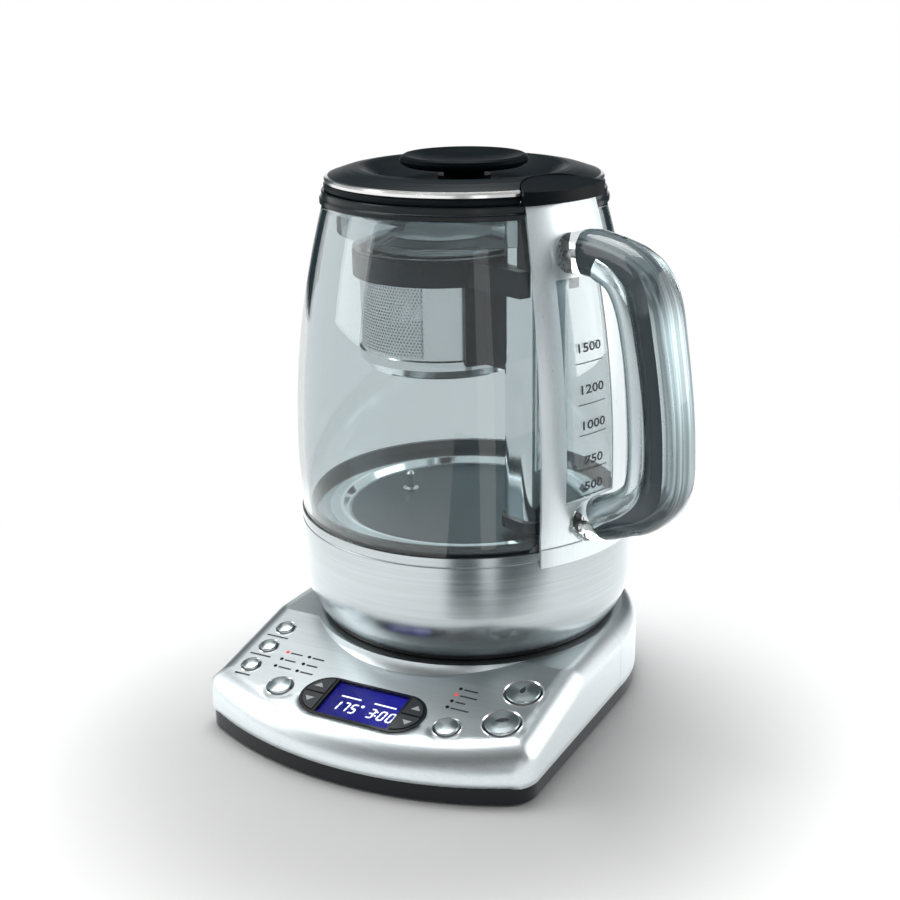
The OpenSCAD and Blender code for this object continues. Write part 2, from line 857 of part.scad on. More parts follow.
// Space that the leaf-shaped cap needs in the lid
module cap_notch() {
    translate([cap_x, 0, 200]) cylinder(r = cap_arc + 0.5, h = 80, $fn = 96);
}

module lid_cover() {
    color([0.07, 0.08, 0.09]) on_jug() difference() {
        rotate_extrude($fn = 128) polygon([[0, 238.7], [62.6, 238.7],
            [62.9, 239.2], [62.9, 240.6], [62, 241.3], [60.9, 241.3],
            [60.9, 244.2], [58, 245.3], [54, 246.6], [50, 247.4],
            [47.3, 247.6], [45.2, 247.1], [43, 245.6], [38, 242.6],
            [32, 241.2], [24, 240.8], [12, 240.8], [12, 243.5], [0, 243.5]]);
        cap_notch();
    }
}

module lid_trim() {
    color([0.88, 0.89, 0.9]) on_jug() difference() {
        rotate_extrude($fn = 128) polygon([[60.9, 241.4], [61.8, 241.4],
            [62.6, 242], [62.7, 243.2], [62, 244], [60.9, 244.3]]);
        cap_notch();
    }
}

// Dished finger disc on a short stem
module lid_knob() {
    color([0.06, 0.06, 0.07]) on_jug() rotate_extrude($fn = 128)
        polygon([[0, 243.6], [9, 243.6], [10, 246.6], [20, 247.2],
            [26.5, 247.7], [28.3, 248.8], [28.8, 250.2], [28.2, 251.7],
            [26.8, 252.4], [24.6, 252.1], [18, 250.6], [9, 249.7],
            [0, 249.5]]);
}

// Smoked skirt of the lid, open round the column
module lid_skirt() {
    color([0.3, 0.33, 0.35, 0.4]) on_jug() difference() {
        tube(57.6, 55.8, 220, 238.6);
        translate([20, -17, 200]) cube([50, 34, 60]);
        cap_notch();
    }
}

module lid_seal() {
    color([0.5, 0.52, 0.54]) on_jug() difference() {
        rotate_extrude($fn = 128) polygon([[57.7, 235.2], [59.6, 235.2],
            [60.1, 236], [59.6, 236.6], [60.1, 237.4], [59.6, 238.6],
            [57.7, 238.6]]);
        translate([20, -17, 200]) cube([50, 34, 60]);
        cap_notch();
    }
}

// ---------------------------------------------------------------- assembly

base_tray();
base_feet();
base_screws();
base_cover();
base_socket();
cord_gland();
power_board();
power_parts();
control_board();
key_switches();
display_bezel();
display_panel();
display_window();
key_rings();
status_lamps();
lit_lamps();
auto_key();
warm_key();
basket_key();
tea_type_key();
strength_key();
hot_water_key();
tea_key();
temp_up_key();
temp_down_key();
time_up_key();
time_down_key();
socket_collar();
jug_foot();
jug_connector();
jug_cup();
heating_element();
floor_plate();
temperature_probe();
glass_seal();
jug_glass();
jug_collar();
pour_spout();
handle_bracket();
level_window();
handle_loop();
handle_insert();
handle_screws();
column_foot();
lift_column();
column_head();
column_cap();
lift_motor();
lift_screw();
carriage();
drive_nut();
carriage_magnet();
basket_can();
basket_rim();
basket_lid();
lid_cover();
lid_trim();
lid_knob();
lid_skirt();
lid_seal();
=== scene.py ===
import bpy, bmesh, math
from mathutils import Matrix, Vector


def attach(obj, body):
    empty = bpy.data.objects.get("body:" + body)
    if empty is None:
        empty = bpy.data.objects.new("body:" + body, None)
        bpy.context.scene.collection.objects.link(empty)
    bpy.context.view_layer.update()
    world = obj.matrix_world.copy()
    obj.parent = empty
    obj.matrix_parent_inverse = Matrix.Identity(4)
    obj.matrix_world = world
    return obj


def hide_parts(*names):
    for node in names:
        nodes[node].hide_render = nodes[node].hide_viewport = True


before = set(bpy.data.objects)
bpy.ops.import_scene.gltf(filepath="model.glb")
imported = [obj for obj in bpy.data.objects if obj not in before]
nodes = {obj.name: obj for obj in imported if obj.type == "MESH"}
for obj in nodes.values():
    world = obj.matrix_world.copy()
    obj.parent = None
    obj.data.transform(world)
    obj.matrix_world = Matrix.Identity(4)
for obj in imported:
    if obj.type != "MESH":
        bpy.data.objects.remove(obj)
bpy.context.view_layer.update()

# ---------------------------------------------------------------- camera
# The photograph's view: a 58 mm lens on a 36 mm frame, 653 mm in front of the
# jug and 333 mm up, looking down 18.6 degrees, 27.5 degrees round to the right.
turn, dip, roll = math.radians(27.5), math.radians(18.63), math.radians(-0.64)
across = Vector((math.cos(turn), math.sin(turn), 0))
ahead = Vector((-math.sin(turn), math.cos(turn), 0))
look = ahead * math.cos(dip) - Vector((0, 0, 1)) * math.sin(dip)
rise = ahead * math.sin(dip) + Vector((0, 0, 1)) * math.cos(dip)
cam_x = across * math.cos(roll) + rise * math.sin(roll)
cam_y = rise * math.cos(roll) - across * math.sin(roll)
lens = bpy.data.cameras.new("photo_view")
lens.sensor_width, lens.lens, lens.shift_x = 36.0, 58.0, -0.0191
lens.clip_start, lens.clip_end = 0.01, 60
camera = bpy.data.objects.new("photo_view", lens)
camera.matrix_world = Matrix((
    (cam_x.x, cam_y.x, -look.x, 0.3016), (cam_x.y, cam_y.y, -look.y, -0.5794),
    (cam_x.z, cam_y.z, -look.z, 0.3334), (0, 0, 0, 1)))
bpy.context.scene.collection.objects.link(camera)
bpy.context.scene.camera = camera
bpy.context.scene.view_settings.view_transform = "Standard"


# ---------------------------------------------------------------- studio
# A white table sheet runs off into white air, under one broad lamp and a weaker
# one on each side, with a painted shadow on it round the base; steel, gloss and
# glass also mirror three dark boards behind, a dark sheet in front and one bright strip.
class Wire:
    """An output socket of a shader tree that takes part in sums."""

    def __init__(self, finish, socket):
        self.finish, self.socket = finish, socket

    def work(self, operation, first, second=0.0):
        return self.finish.add("ShaderNodeMath", {"operation": operation},
                               {0: first, 1: second})

    def __add__(self, other):
        return self.work("ADD", self, other)

    def __radd__(self, other):
        return self.work("ADD", other, self)

    def __sub__(self, other):
        return self.work("SUBTRACT", self, other)

    def __rsub__(self, other):
        return self.work("SUBTRACT", other, self)

    def __mul__(self, other):
        return self.work("MULTIPLY", self, other)

    def __rmul__(self, other):
        return self.work("MULTIPLY", other, self)

    def __truediv__(self, other):
        return self.work("DIVIDE", self, other)

    def peak(self, other):
        return self.work("MAXIMUM", self, other)

    def span(self, low, high, start=0.0, end=1.0):
        """Smooth rise from start to end while the value goes from low to high."""
        return self.finish.add(
            "ShaderNodeMapRange", {"interpolation_type": "SMOOTHSTEP"},
            {"Value": self, "From Min": low, "From Max": high, "To Min": start, "To Max": end})


class Finish:
    """A node tree built in code; owner is a new material unless one is given."""

    def __init__(self, name, owner=None):
        self.owner = owner or bpy.data.materials.new(name)
        self.owner.use_nodes = True
        self.tree = self.owner.node_tree
        self.tree.nodes.clear()

    def add(self, kind, settings=None, sockets=None, out=0):
        """A node with its settings and its sockets' values or links; gives one output."""
        node = self.tree.nodes.new(kind)
        for key, value in (settings or {}).items():
            setattr(node, key, value)
        for key, value in (sockets or {}).items():
            if isinstance(value, Wire):
                self.tree.links.new(value.socket, node.inputs[key])
            else:
                node.inputs[key].default_value = value
        return Wire(self, node.outputs[out]) if node.outputs else None

    def mix(self, share, first, second):
        return self.add("ShaderNodeMix", {"data_type": "RGBA"},
                        {0: share, 6: first, 7: second}, out=2)

    def place(self, scale=(1, 1, 1), shift=(0, 0, 0)):
        """Object coordinates in metres, stretched and then shifted."""
        spot = self.add("ShaderNodeTexCoord", out="Object")
        return self.add("ShaderNodeMapping", {}, {
            "Vector": spot, "Scale": scale, "Location": shift})

    def away(self, spot):
        """How far a place lies from its zero."""
        return self.add("ShaderNodeVectorMath", {"operation": "LENGTH"}, {0: spot}, out="Value")

    def size_of(self, value):
        return self.add("ShaderNodeMath", {"operation": "ABSOLUTE"}, {0: value})

    def part(self, spot, axis):
        return self.add("ShaderNodeSeparateXYZ", {}, {"Vector": spot}, out=axis)

    def noise(self, spot, scale=1.0, detail=3.0, rough=0.6):
        return self.add("ShaderNodeTexNoise", {}, {
            "Vector": spot, "Scale": scale, "Detail": detail, "Roughness": rough})

    def bump(self, height, distance, strength=1.0, **more):
        return self.add("ShaderNodeBump", {}, {
            "Height": height, "Distance": distance, "Strength": strength, **more})

    def surface(self, **sockets):
        """Closes the tree with a Principled shader; _ stands for a space."""
        shader = self.add("ShaderNodeBsdfPrincipled", {}, {
            key.replace("_", " "): value for key, value in sockets.items()})
        self.add("ShaderNodeOutputMaterial", {}, {"Surface": shader})
        return self.owner


def grey(value):
    return (value, value, value, 1)


def link(name, mesh):
    piece = bpy.data.objects.new(name, mesh)
    bpy.context.scene.collection.objects.link(piece)
    return piece


def sheet_of(name, corners):
    """One flat face with these corners."""
    mesh = bpy.data.meshes.new(name)
    mesh.from_pydata(corners, [], [tuple(range(len(corners)))])
    return link(name, mesh)


table_radius = 25  # metres, past what the camera sees
table = sheet_of("table_sheet", [
    (table_radius * math.cos(k * math.pi / 24), table_radius * math.sin(k * math.pi / 24), 0)
    for k in range(48)])
paper = Finish("white_paper")
grain = paper.noise(paper.place(), 900.0)
from_jug = paper.away(paper.place((1.08, 0.96, 1), (0, 0.03, 0)))
painted_shadow_distance = paper.away(paper.place(shift=(-0.015, 0.085, 0)))
# Painted shadow: the sheet's colour is 0.6 grey just in front of the base and rises to 0.86 away
# from it.
lit_by_lamps = paper.add("ShaderNodeBsdfDiffuse", {}, {
    "Color": paper.mix(painted_shadow_distance.span(0.08, 0.2) * (0.97 + grain * 0.03),
                       grey(0.6), grey(0.86))})
mirrored = paper.add("ShaderNodeLightPath", out="Is Glossy Ray")
# Painted shadow as well: the sheet's own glow is nil near the jug and grows away from it, so the
# sheet stays darker round the base.
lift = paper.add("ShaderNodeEmission", {}, {
    "Color": grey(1), "Strength": from_jug.span(0.14, 0.33, 0.0, 0.32).peak(mirrored * 0.6)})
near = paper.add("ShaderNodeAddShader", {}, {0: lit_by_lamps, 1: lift})
far = paper.add("ShaderNodeEmission", {}, {"Color": grey(1), "Strength": 1.0})
paper.add("ShaderNodeOutputMaterial", {}, {"Surface": paper.add(
    "ShaderNodeMixShader", {}, {0: from_jug.span(0.225, 0.385), 1: near, 2: far})})
table.data.materials.append(paper.owner)

air = bpy.data.worlds.new("studio_air")
bpy.context.scene.world = air
sky = Finish("studio_air", air)
seen = sky.add("ShaderNodeLightPath", out="Is Camera Ray").peak(
    sky.add("ShaderNodeLightPath", out="Is Transmission Ray"))
glossy = sky.add("ShaderNodeLightPath", out="Is Glossy Ray")
heading = sky.add("ShaderNodeTexCoord", out="Generated")
front = sky.add("ShaderNodeVectorMath", {"operation": "DOT_PRODUCT"}, {
    0: heading, 1: tuple(-ahead)}, out="Value")
dome = sky.part(heading, "Z").span(0.1, 0.5, 1.0, 0.46) * front.span(0.1, 0.75, 1.0, 0.38)
for_matt = 0.27
sky.add("ShaderNodeOutputWorld", {}, {"Surface": sky.add("ShaderNodeBackground", {}, {
    "Color": grey(1),
    "Strength": seen + (1.0 - seen) * (glossy * dome + (1.0 - glossy) * for_matt)})})


def lamp(name, place, aim, wide, tall, watts):
    """A soft white lamp that faces the point aim above the middle of the base."""
    light = bpy.data.lights.new(name, "AREA")
    light.shape, light.size, light.size_y = "RECTANGLE", wide, tall
    light.energy = watts
    holder = link(name, light)
    holder.location = place
    holder.rotation_mode = "QUATERNION"
    holder.rotation_quaternion = (Vector((0, 0, aim)) - place).to_track_quat("-Z", "Y")


def studio(right, back, height):
    """A place given from the camera's side: right, away from it, and up."""
    return across * right + ahead * back + Vector((0, 0, height))


lamp("top_lamp", studio(-0.12, 0.3, 1.2), 0.1, 0.9, 0.7, 13.0)
lamp("left_lamp", studio(-0.85, -0.05, 0.55), 0.12, 0.45, 0.9, 3.2)
lamp("right_lamp", studio(0.85, -0.02, 0.42), 0.12, 0.5, 0.75, 3.0)

board = Finish("dark_board")
board.surface(Roughness=0.9, Base_Color=board.mix(
    board.noise(board.place(), 30.0), (0.01, 0.024, 0.03, 1), (0.015, 0.035, 0.042, 1)))
strip = Finish("strip_card")
strip.add("ShaderNodeOutputMaterial", {}, {"Surface": strip.add(
    "ShaderNodeEmission", {}, {"Color": grey(1), "Strength": 1.5})})
for name, finish, seen_through_glass, corners in (
        ("dark_board_left", board, True, (
            (-0.34, 0.95, 0.02), (-0.75, 0.8, 0.02), (-0.75, 0.8, 0.62), (-0.34, 0.95, 0.62))),
        ("dark_board_right", board, True, (
            (0.34, 0.95, 0.02), (0.75, 0.8, 0.02), (0.75, 0.8, 0.62), (0.34, 0.95, 0.62))),
        ("dark_board_back", board, False, (
            (-0.34, 0.97, 0.43), (0.34, 0.97, 0.43), (0.34, 0.97, 0.82), (-0.34, 0.97, 0.82))),
        ("dark_sheet_front", board, False, (
            (-0.05, -0.22, 0.0004), (0.19, -0.18, 0.0004), (0.55, -0.6, 0.0004),
            (-0.12, -0.9, 0.0004))),
        ("strip_card", strip, False, (
            (0.03, -0.24, 0.001), (0.066, -0.235, 0.001), (0.27, -0.9, 0.5), (0.1, -0.95, 0.5)))):
    card = sheet_of(name, [studio(*corner) for corner in corners])
    card.data.materials.append(finish.owner)
    card.visible_camera = card.visible_diffuse = card.visible_shadow = False
    card.visible_transmission = seen_through_glass


def dress(material, *names):
    """Gives CAD nodes a finish, in place of their plain one."""
    for name in names:
        mesh = nodes[name].data
        mesh.materials.clear()
        mesh.materials.append(material)


def moulded(name, tone, rough, fine=700.0, depth=0.000003, coat=0.0, shine=0.25):
    """Moulded plastic or rubber: a faint spark grain and uneven gloss."""
    finish = Finish(name)
    speck = finish.noise(finish.place(), fine, 2.0)
    cloud = finish.noise(finish.place(), 25.0, 4.0)
    dark = tuple(0.85 * c for c in tone[:3]) + (1,)
    light = tuple(min(1.0, 1.12 * c) for c in tone[:3]) + (1,)
    return finish.surface(
        Base_Color=finish.mix(cloud, dark, light), Specular_IOR_Level=shine,
        Roughness=rough + (speck - 0.5) * 0.02 + (cloud - 0.5) * 0.06,
        Normal=finish.bump(speck, depth, 0.25), Coat_Weight=coat, Coat_Roughness=0.06)


dress(moulded("black_moulding", (0.006, 0.009, 0.012), 0.35, shine=0.18),
      "base_tray", "cord_gland")
dress(moulded("foot_rubber", (0.03, 0.03, 0.032), 0.75, 500.0, 0.0001), "base_feet")
zinc = Finish("zinc_plate")
zinc_cloud = zinc.noise(zinc.place(), 700.0)
dress(zinc.surface(Base_Color=zinc.mix(zinc_cloud, grey(0.42), grey(0.62)), Metallic=1.0,
                   Roughness=0.24 + zinc_cloud * 0.2), "base_screws", "handle_screws")

# ---------------------------------------------------------------- boards
# A mains board with transformer, relay and terminals lies in the tray, and
# the control board with one push switch per key hangs under the panel.
resist = Finish("green_resist")
tracks = resist.add("ShaderNodeTexBrick", {"offset": 0.5}, {
    "Vector": resist.place(), "Scale": 220.0, "Mortar Size": 0.06,
    "Color1": (0.01, 0.09, 0.03, 1), "Color2": (0.014, 0.12, 0.045, 1),
    "Mortar": (0.03, 0.2, 0.08, 1)})
dress(resist.surface(Base_Color=tracks, Roughness=0.3, Coat_Weight=0.5), "power_board",
      "control_board")
parts = Finish("wound_parts")
turns = parts.noise(parts.place((1, 1, 30)), 90.0)
dress(parts.surface(Base_Color=parts.mix(turns, grey(0.02), (0.35, 0.2, 0.06, 1)),
                    Roughness=0.35 + turns * 0.2), "power_parts")
dress(moulded("switch_black", (0.03, 0.03, 0.033), 0.45), "key_switches")

# ---------------------------------------------------------------- contact socket
# The black socket in the middle of the pad holds the contacts; the jug sits
# over it at any angle, and a loose ring turns on its neck.
dress(moulded("socket_black", (0.016, 0.016, 0.018), 0.34), "base_socket")
dress(moulded("collar_nylon", (0.09, 0.095, 0.1), 0.4), "socket_collar")

# ---------------------------------------------------------------- steel cover
# The cover is pressed from one steel sheet, brushed from side to side, and
# closed over the tray; its keys and display look through punched holes.


def brushed(name, along, tone, rough, contrast=0.08, pressed=0.0, metal=1.0):
    """Brushed steel: fine scratches along one direction; pressed rounds its outer edges."""
    finish = Finish(name)
    fine = finish.noise(finish.place(along), 1.0, 2.0, 0.7)
    coarse = finish.noise(finish.place(tuple(0.3 * s for s in along)), 1.0, 1.0)
    streak = fine * 0.65 + coarse * 0.35
    low, high = tone * (1 - contrast), tone * (1 + contrast)
    edge = {}
    if pressed:  # the sheet's bends, away from the punched holes
        spot = finish.place()
        side, fore = finish.size_of(finish.part(spot, "X")), -0.1 - finish.part(spot, "Y")
        outer = side.span(0.0725, 0.074).peak(fore.span(0.004, 0.0065))
        bend = finish.add("ShaderNodeBevel", {"samples": 8}, {"Radius": pressed})
        plain = finish.add("ShaderNodeNewGeometry", out="Normal")
        edge = {"Normal": finish.add("ShaderNodeMix", {"data_type": "VECTOR"},
                                     {0: outer, 4: plain, 5: bend}, out=1)}
    return finish.surface(
        Base_Color=finish.mix(streak.span(0.3, 0.7), (low * 0.9, low * 0.975, low, 1),
                              (high * 0.9, high * 0.975, high, 1)),
        Metallic=metal, Roughness=rough + (streak - 0.5) * 0.14,
        Normal=finish.bump(streak, 0.000003, 0.35, **edge))


dress(brushed("brushed_cover", (30, 3400, 3400), 0.69, 0.33, contrast=0.06,
              pressed=0.005), "base_cover")

# ---------------------------------------------------------------- display
# A gloss black frame holds the blue lit panel behind a clear window, with
# four quarter keys at its ends; the digits and arrows are plain signs.
PANEL = Matrix.Translation((0, -0.064, 0.0349)) @ Matrix.Rotation(math.radians(11.7), 4, "X")
dress(moulded("bezel_gloss", (0.011, 0.013, 0.016), 0.16, coat=0.6), "display_bezel")
blue = Finish("lit_blue")
glow = blue.place()
dots = blue.add("ShaderNodeTexVoronoi", {}, {"Vector": glow, "Scale": 2200.0})
lit = blue.mix(blue.part(glow, "X").span(-0.02, 0.02),
               (0.002, 0.002, 0.17, 1), (0.008, 0.008, 0.3, 1))
dress(blue.surface(Base_Color=(0.003, 0.003, 0.02, 1), Roughness=0.5, Specular_IOR_Level=0.1,
                   Emission_Color=blue.mix(dots.span(0.0, 0.6) * 0.15, lit, (0, 0, 0.1, 1)),
                   Emission_Strength=1.0), "display_panel")


def clear(name, tint, ior, rough=0.01, wave=0.0, shine=0.5, spot=Finish.place):
    """Clear glass or acrylic, a little uneven."""
    finish = Finish(name)
    smear = finish.noise(spot(finish), 30.0, 1.0)
    return finish.surface(
        Base_Color=finish.mix(smear, tint, tuple(0.985 * c for c in tint[:3]) + (1,)),
        Roughness=rough + smear * 0.01, IOR=ior, Transmission_Weight=1.0,
        Specular_IOR_Level=shine, Normal=finish.bump(smear, wave, 0.2))


dress(clear("display_pane", (0.97, 0.98, 0.99, 1), 1.12), "display_window")


def piece_of(name, verts, faces, material, place=Matrix.Identity(4), smooth=40.0):
    """A mesh piece: doubles merged, normals out, edges sharper than smooth kept."""
    build = bmesh.new()
    made = [build.verts.new(place @ Vector(v)) for v in verts]
    for face in faces:
        try:
            build.faces.new([made[i] for i in face])
        except ValueError:
            pass
    bmesh.ops.remove_doubles(build, verts=build.verts, dist=1e-7)
    bmesh.ops.dissolve_degenerate(build, edges=build.edges, dist=1e-8)
    bmesh.ops.recalc_face_normals(build, faces=build.faces)
    for edge in build.edges:
        if len(edge.link_faces) == 2:
            edge.smooth = edge.calc_face_angle(0) < math.radians(smooth)
    for face in build.faces:
        face.smooth = True
    mesh = bpy.data.meshes.new(name)
    build.to_mesh(mesh)
    build.free()
    mesh.materials.append(material)
    return link(name, mesh)


def oblong(left, low, right, high):
    return [(left, low), (right, low), (right, high), (left, high)]


def slab(outline, low, high):
    """Corners and faces of a flat outline made thick; the outline turns left."""
    count = len(outline)
    verts = [(x, y, low) for x, y in outline] + [(x, y, high) for x, y in outline]
    faces = [tuple(range(count - 1, -1, -1)), tuple(range(count, 2 * count))]
    faces += [(i, (i + 1) % count, (i + 1) % count + count, i + count) for i in range(count)]
    return verts, faces


def gather(parts):
    """Several (verts, faces) as one."""
    verts, faces = [], []
    for more_verts, more_faces in parts:
        base = len(verts)
        verts += more_verts
        faces += [tuple(i + base for i in face) for face in more_faces]
    return verts, faces


digit_white = Finish("digit_white")
shimmer = digit_white.noise(digit_white.place(), 800.0)
digit_white.surface(Base_Color=grey(0.8), Roughness=0.5,
                    Emission_Color=digit_white.mix(shimmer, (0.72, 0.78, 0.95, 1), grey(1)),
                    Emission_Strength=0.9)
SEGMENTS = {"0": "abcdef", "1": "bc", "3": "abgcd", "5": "afgcd", "7": "abc"}
digit_high, digit_foot, lean = 0.0062, -0.0443, 0.12


def lit_sign(outline):
    """A sign just over the lit panel, which lies 1.6 mm under the bezel."""
    return slab(outline, -0.00155, -0.0014)


def digit(sign, x):
    """A seven-segment digit, leaning a little, its lower left corner at x."""
    wide, bar, gap = digit_high * 0.5, digit_high * 0.11, digit_high * 0.02
    half, middle = bar / 2, digit_high / 2

    def level(y):
        return [(gap + half, y), (bar, y - half), (wide - bar, y - half),
                (wide - gap - half, y), (wide - bar, y + half), (bar, y + half)]

    def upright(x0, y0, y1):
        return [(x0, y0 + gap), (x0 + half, y0 + half), (x0 + half, y1 - half),
                (x0, y1 - gap), (x0 - half, y1 - half), (x0 - half, y0 + half)]

    low, top, left, right = half, digit_high - half, half, wide - half
    shape = {"a": level(top), "g": level(middle), "d": level(low),
             "b": upright(right, middle, top), "c": upright(right, low, middle),
             "f": upright(left, middle, top), "e": upright(left, low, middle)}
    return [lit_sign([(x + px + lean * py, digit_foot + py) for px, py in shape[segment]])
            for segment in SEGMENTS[sign]]


marks = []
for sign, x in (("1", -0.0138), ("7", -0.0093), ("5", -0.0051),
                ("3", 0.0040), ("0", 0.0093), ("0", 0.0137)):
    marks += digit(sign, x)
for v in (-0.0424, -0.0399):  # the colon, the degree ring and a plain bar over each number
    marks.append(lit_sign(oblong(0.0079, v, 0.0086, v + 0.0007)))
marks.append(lit_sign([
    (0.0002 + 0.0008 * math.cos(k * math.pi / 8), -0.0385 + 0.0008 * math.sin(k * math.pi / 8))
    for k in range(16)]))
for left, right in ((-0.0127, -0.0027), (0.0040, 0.0150)):
    marks.append(lit_sign(oblong(left, -0.0352, right, -0.0345)))
digits = piece_of("display_digits", *gather(marks), digit_white.owner, PANEL)
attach(digits, "base")

arrow_grey = moulded("arrow_grey", (0.42, 0.44, 0.45), 0.35)
dress(moulded("key_charcoal", (0.035, 0.04, 0.045), 0.3, coat=0.3), "temp_up_key",
      "temp_down_key", "time_up_key", "time_down_key")
for name, side, way in (("temp_up", -1, 1), ("temp_down", -1, -1), ("time_up", 1, 1),
                        ("time_down", 1, -1)):
    x, y = side * 0.0246, -0.0384 + way * 0.0048
    points = [(x - 0.0023, y - way * 0.0012), (x + 0.0023, y - way * 0.0012),
              (x, y + way * 0.0016)]
    arrow = piece_of(name + "_arrow", *slab(points, 0.00088, 0.00098), arrow_grey, PANEL)
    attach(arrow, name + "_key")

# ---------------------------------------------------------------- keys, rings and lamps
# Seven round keys with spun faces stand in bright bevelled rings, pushed in
# against their switches, and ten small lamps show what has been chosen.
plate = Finish("bright_plate")
wipe = plate.noise(plate.place(), 120.0)
bright_plate = plate.surface(Base_Color=plate.mix(wipe, grey(0.84), grey(0.93)), Metallic=1.0,
                             Roughness=0.16 + wipe * 0.06)
dress(bright_plate, "key_rings")


def spun(name, x, v, radius):
    """A turned key face: fine rings, and a painted sheen, a light and dark bow-tie about its own
    middle.
    """
    finish = Finish(name)
    spot = finish.place(shift=tuple(PANEL @ Vector((x, v, 0)) * -1))
    away = finish.away(spot)
    rings = finish.add("ShaderNodeTexNoise", {"noise_dimensions": "1D"}, {
        "W": away, "Scale": 1500.0, "Detail": 1.0})
    worn = finish.noise(finish.place(), 260.0)
    rim = away.span(radius * 0.8, radius * 0.97)
    along = finish.add("ShaderNodeVectorMath", {"operation": "DOT_PRODUCT"}, {
        0: spot, 1: (0.86, 0.5, 0.1)}, out="Value")
    # Painted highlight and shade: the face is darker along one fixed direction and lighter across
    # it, standing in for the spun face's sheen; the fine rings add a little.
    painted_sheen_and_rings = (finish.size_of(along) / away).span(0.45, 0.95) * 0.85 + rings * 0.15
    return finish.surface(
        Base_Color=finish.mix(painted_sheen_and_rings, (0.62, 0.69, 0.7, 1), (0.2, 0.245, 0.26, 1)),
        Metallic=1.0, Roughness=0.33 + (rings - 0.5) * 0.08 + (worn - 0.5) * 0.03 - rim * 0.05,
        Normal=finish.bump(rings, 0.0000015, 0.3))


round_keys = {"auto_key": (-0.064, -0.0012, 0.0039), "warm_key": (-0.064, -0.0159, 0.0039),
              "basket_key": (-0.064, -0.0306, 0.0039), "tea_type_key": (-0.0423, -0.0395, 0.0053),
              "strength_key": (0.0423, -0.0395, 0.0053),
              "hot_water_key": (0.0633, -0.0078, 0.0076), "tea_key": (0.0633, -0.0292, 0.0076)}
for name, (x, v, radius) in round_keys.items():
    dress(spun("spun_" + name, x, v, radius), name)
dress(moulded("lamp_dark", (0.02, 0.012, 0.012), 0.2), "status_lamps")
glowing = Finish("lamp_red")
dress(glowing.surface(Base_Color=(0.3, 0.02, 0.015, 1), Roughness=0.25, Emission_Strength=0.8,
                      Emission_Color=glowing.mix(glowing.noise(glowing.place(), 900.0),
                                                 (0.75, 0.05, 0.03, 1), (0.9, 0.12, 0.08, 1))),
      "lit_lamps")

# ---------------------------------------------------------------- signs on the panel
# Small printed bars stand where each lamp and key is named, and the two large
# keys carry a drop and a leaf; all are plain signs without words.
printed = moulded("printed_grey", (0.045, 0.05, 0.055), 0.55)
ink_high = 0.00006
bars = []
for left in (-0.0508, -0.0390):  # beside the lamps for the kinds of tea
    for v, long in ((-0.0176, 0.0062), (-0.0229, 0.0058), (-0.0282, 0.0066)):
        bars.append((left, v, long))
for v, long in ((-0.0149, 0.0066), (-0.0192, 0.0082), (-0.0236, 0.0048), (-0.0279, 0.0084)):
    bars.append((0.038, v, long))  # beside the lamps for the strength
for v, long in ((-0.0087, 0.0115), (-0.0234, 0.0112), (-0.0381, 0.0082)):
    bars.append((-0.0641 - long / 2, v, long))  # under the column of small keys
signs = piece_of("panel_signs", *gather(
    [slab(oblong(left, v, left + long, v + 0.0009), 0.0, ink_high) for left, v, long in bars]),
    printed, PANEL)
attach(signs, "base")


def drop_shape(x, v, size):
    """A water drop, point up."""
    points = []
    for k in range(28):
        a = 2 * math.pi * k / 28
        points.append((x + size * 0.62 * math.sin(a) * math.sin(a / 2) ** 1.4,
                       v + size * 0.9 * math.cos(a)))
    return points[::-1]


def leaf_shape(x, v, size):
    """A leaf with two points, leaning to the right."""
    points = []
    for k in range(28):
        a = 2 * math.pi * k / 28
        px, py = size * math.cos(a), size * 0.42 * math.sin(a) * abs(math.sin(a)) ** 0.5
        points.append((x + 0.88 * px - 0.48 * py, v + 0.48 * px + 0.88 * py))
    return points


def crowned(outline, x, v, radius):
    """A printed mark that lies on a key's slightly crowned face."""
    verts, faces = slab(outline, -0.00002, ink_high)
    lifted = []
    for px, py, pz in verts:
        away = math.hypot(px - x, py - v) / radius
        crown = 0.00155 - 0.00005 * min(1, away / 0.3) - max(0, away - 0.3) * 0.0005
        lifted.append((px, py, pz + crown))
    return lifted, faces


for name, shape, size in (("hot_water", drop_shape, 0.0027), ("tea", leaf_shape, 0.0031)):
    x, v, radius = round_keys[name + "_key"]
    sign = piece_of(name + "_sign", *crowned(shape(x, v + 0.0004, size), x, v, radius), printed,
                    PANEL)
    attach(sign, name + "_key")

# ---------------------------------------------------------------- jug foot and plug
# The jug stands on a black moulded foot whose well drops over the socket; the
# contact plug is clipped in the well.
dress(moulded("foot_black", (0.01, 0.011, 0.013), 0.28), "jug_foot")
dress(moulded("plug_grey", (0.06, 0.062, 0.066), 0.42), "jug_connector")

# ---------------------------------------------------------------- cup, floor and element
# The cup is drawn steel brushed round its axis; the floor is pressed and
# polished, with a sheathed element under it and the probe standing in it.
dress(brushed("brushed_cup", (26, 26, 3800), 0.48, 0.24), "jug_cup")


def polished(name, tone, rough):
    """Polished steel with a faint mist and fine draw marks."""
    finish = Finish(name)
    mist = finish.noise(finish.place(), 45.0, 4.0)
    hair = finish.noise(finish.place((1, 1, 40)), 120.0)
    return finish.surface(
        Base_Color=finish.mix(mist, (tone * 0.9, tone * 0.93, tone * 0.94, 1), grey(tone)),
        Metallic=1.0, Roughness=rough + mist * 0.05 + (hair - 0.5) * 0.04,
        Normal=finish.bump(hair, 0.000004, 0.3))


